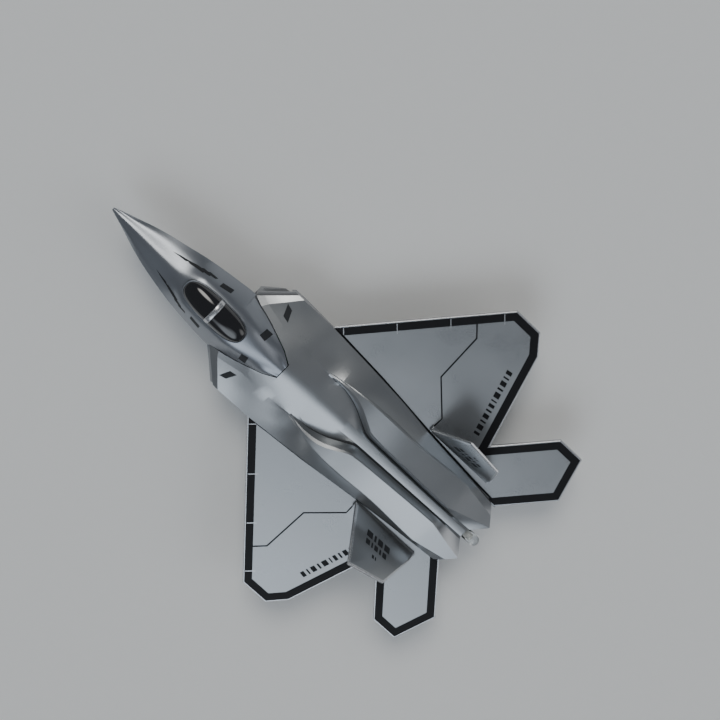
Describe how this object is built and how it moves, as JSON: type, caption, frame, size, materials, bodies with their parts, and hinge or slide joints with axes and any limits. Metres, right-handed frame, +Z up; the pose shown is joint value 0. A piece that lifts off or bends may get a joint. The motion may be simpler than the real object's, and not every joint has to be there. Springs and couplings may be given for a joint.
{
  "type": "toy airplane",
  "caption": "Pull-back toy jet: slim pointed nose, canopy push button, swept wings and tail in one flat plate, canted twin fins, notched nozzles, tail lamp and wheels.",
  "frame": {"origin": "middle of the bounding box in X and Y, on the surface the wheels stand on", "axes": "+X forward to the nose, +Y to port, +Z up"},
  "size_m": [0.1782, 0.1356, 0.0421],
  "materials": {
    "die_cast": "silver lacquer over die-cast metal, with printed black and pale marks",
    "plate_silver": "silver-painted hard plastic, satin, with a printed dark border",
    "plastic_silver": "silver-painted hard plastic, a little bluer than the metal",
    "gloss_black": "polished black with a silver rim and cross bar",
    "plastic_grey": "satin grey moulded plastic",
    "matt_black": "matt black",
    "clear_lens": "clear moulded lens",
    "motor_blue": "satin blue moulded casing",
    "gear_white": "natural white moulded gear plastic",
    "spring_steel": "blued strip steel",
    "steel": "bright plated steel",
    "cell_steel": "bright nickel",
    "brass": "bright brass strip",
    "board_green": "green laminate with a black glob",
    "tyre": "matt black rubber",
    "wheel_grey": "grey moulded hub"
  },
  "bodies": {
    "airframe": {"upper_body": "die_cast", "wing_plate": "plate_silver", "port_fin": "plate_silver", "starboard_fin": "plate_silver", "nose_section": "plastic_silver", "lower_body": "plastic_grey", "port_exhaust": "matt_black", "starboard_exhaust": "matt_black", "tail_lamp": "clear_lens", "port_motor_case": "motor_blue", "starboard_motor_case": "motor_blue", "mainspring": "spring_steel", "nose_gear_leg": "plastic_grey", "nose_axle": "steel", "button_cell_1": "cell_steel", "button_cell_2": "cell_steel", "button_cell_3": "cell_steel", "battery_contact_front": "brass", "battery_contact_rear": "brass", "speaker": "steel", "circuit_board": "board_green", "push_switch": "matt_black", "body_screw_1": "steel", "body_screw_2": "steel", "body_screw_3": "steel", "body_screw_4": "steel", "body_screw_5": "steel"},
    "rear_axle_set": {"rear_axle": "steel", "axle_pinion": "gear_white", "wheel_hub_port": "wheel_grey", "wheel_hub_starboard": "wheel_grey", "tyre_port": "tyre", "tyre_starboard": "tyre"},
    "idler": {"idler_gear": "gear_white"},
    "drum": {"spring_drum": "gear_white"},
    "nose_wheel": {"nose_wheel": "tyre"},
    "canopy": {"canopy_button": "gloss_black", "switch_plunger": "gear_white"},
    "door": {"battery_door": "plastic_grey", "door_screw": "steel"}
  },
  "joints": [
    {"name": "axle_spin", "type": "hinge", "parent": "airframe", "child": "rear_axle_set", "pos_m": [-0.04086, 0, 0.0055], "axis": [0, 1, 0], "continuous": true},
    {"name": "idler_spin", "type": "hinge", "parent": "airframe", "child": "idler", "pos_m": [-0.03739, 0, 0.01149], "axis": [0, 1, 0], "continuous": true},
    {"name": "drum_spin", "type": "hinge", "parent": "airframe", "child": "drum", "pos_m": [-0.02969, 0, 0.01109], "axis": [0, 1, 0], "continuous": true},
    {"name": "nose_wheel_spin", "type": "hinge", "parent": "airframe", "child": "nose_wheel", "pos_m": [0.04815, 0, 0.0026], "axis": [0, 1, 0], "continuous": true},
    {"name": "canopy_press", "type": "slide", "parent": "airframe", "child": "canopy", "axis": [0, 0, -1], "range_m": [0, 0.0006], "stiffness_N_per_m": 400},
    {"name": "battery_door_out", "type": "slide", "parent": "airframe", "child": "door", "axis": [0, 0, -1], "range_m": [0, 0.01]}
  ],
  "couplings": [
    {"joint": "idler_spin", "follows": "axle_spin", "ratio": -0.41667},
    {"joint": "drum_spin", "follows": "axle_spin", "ratio": 0.11111}
  ]
}
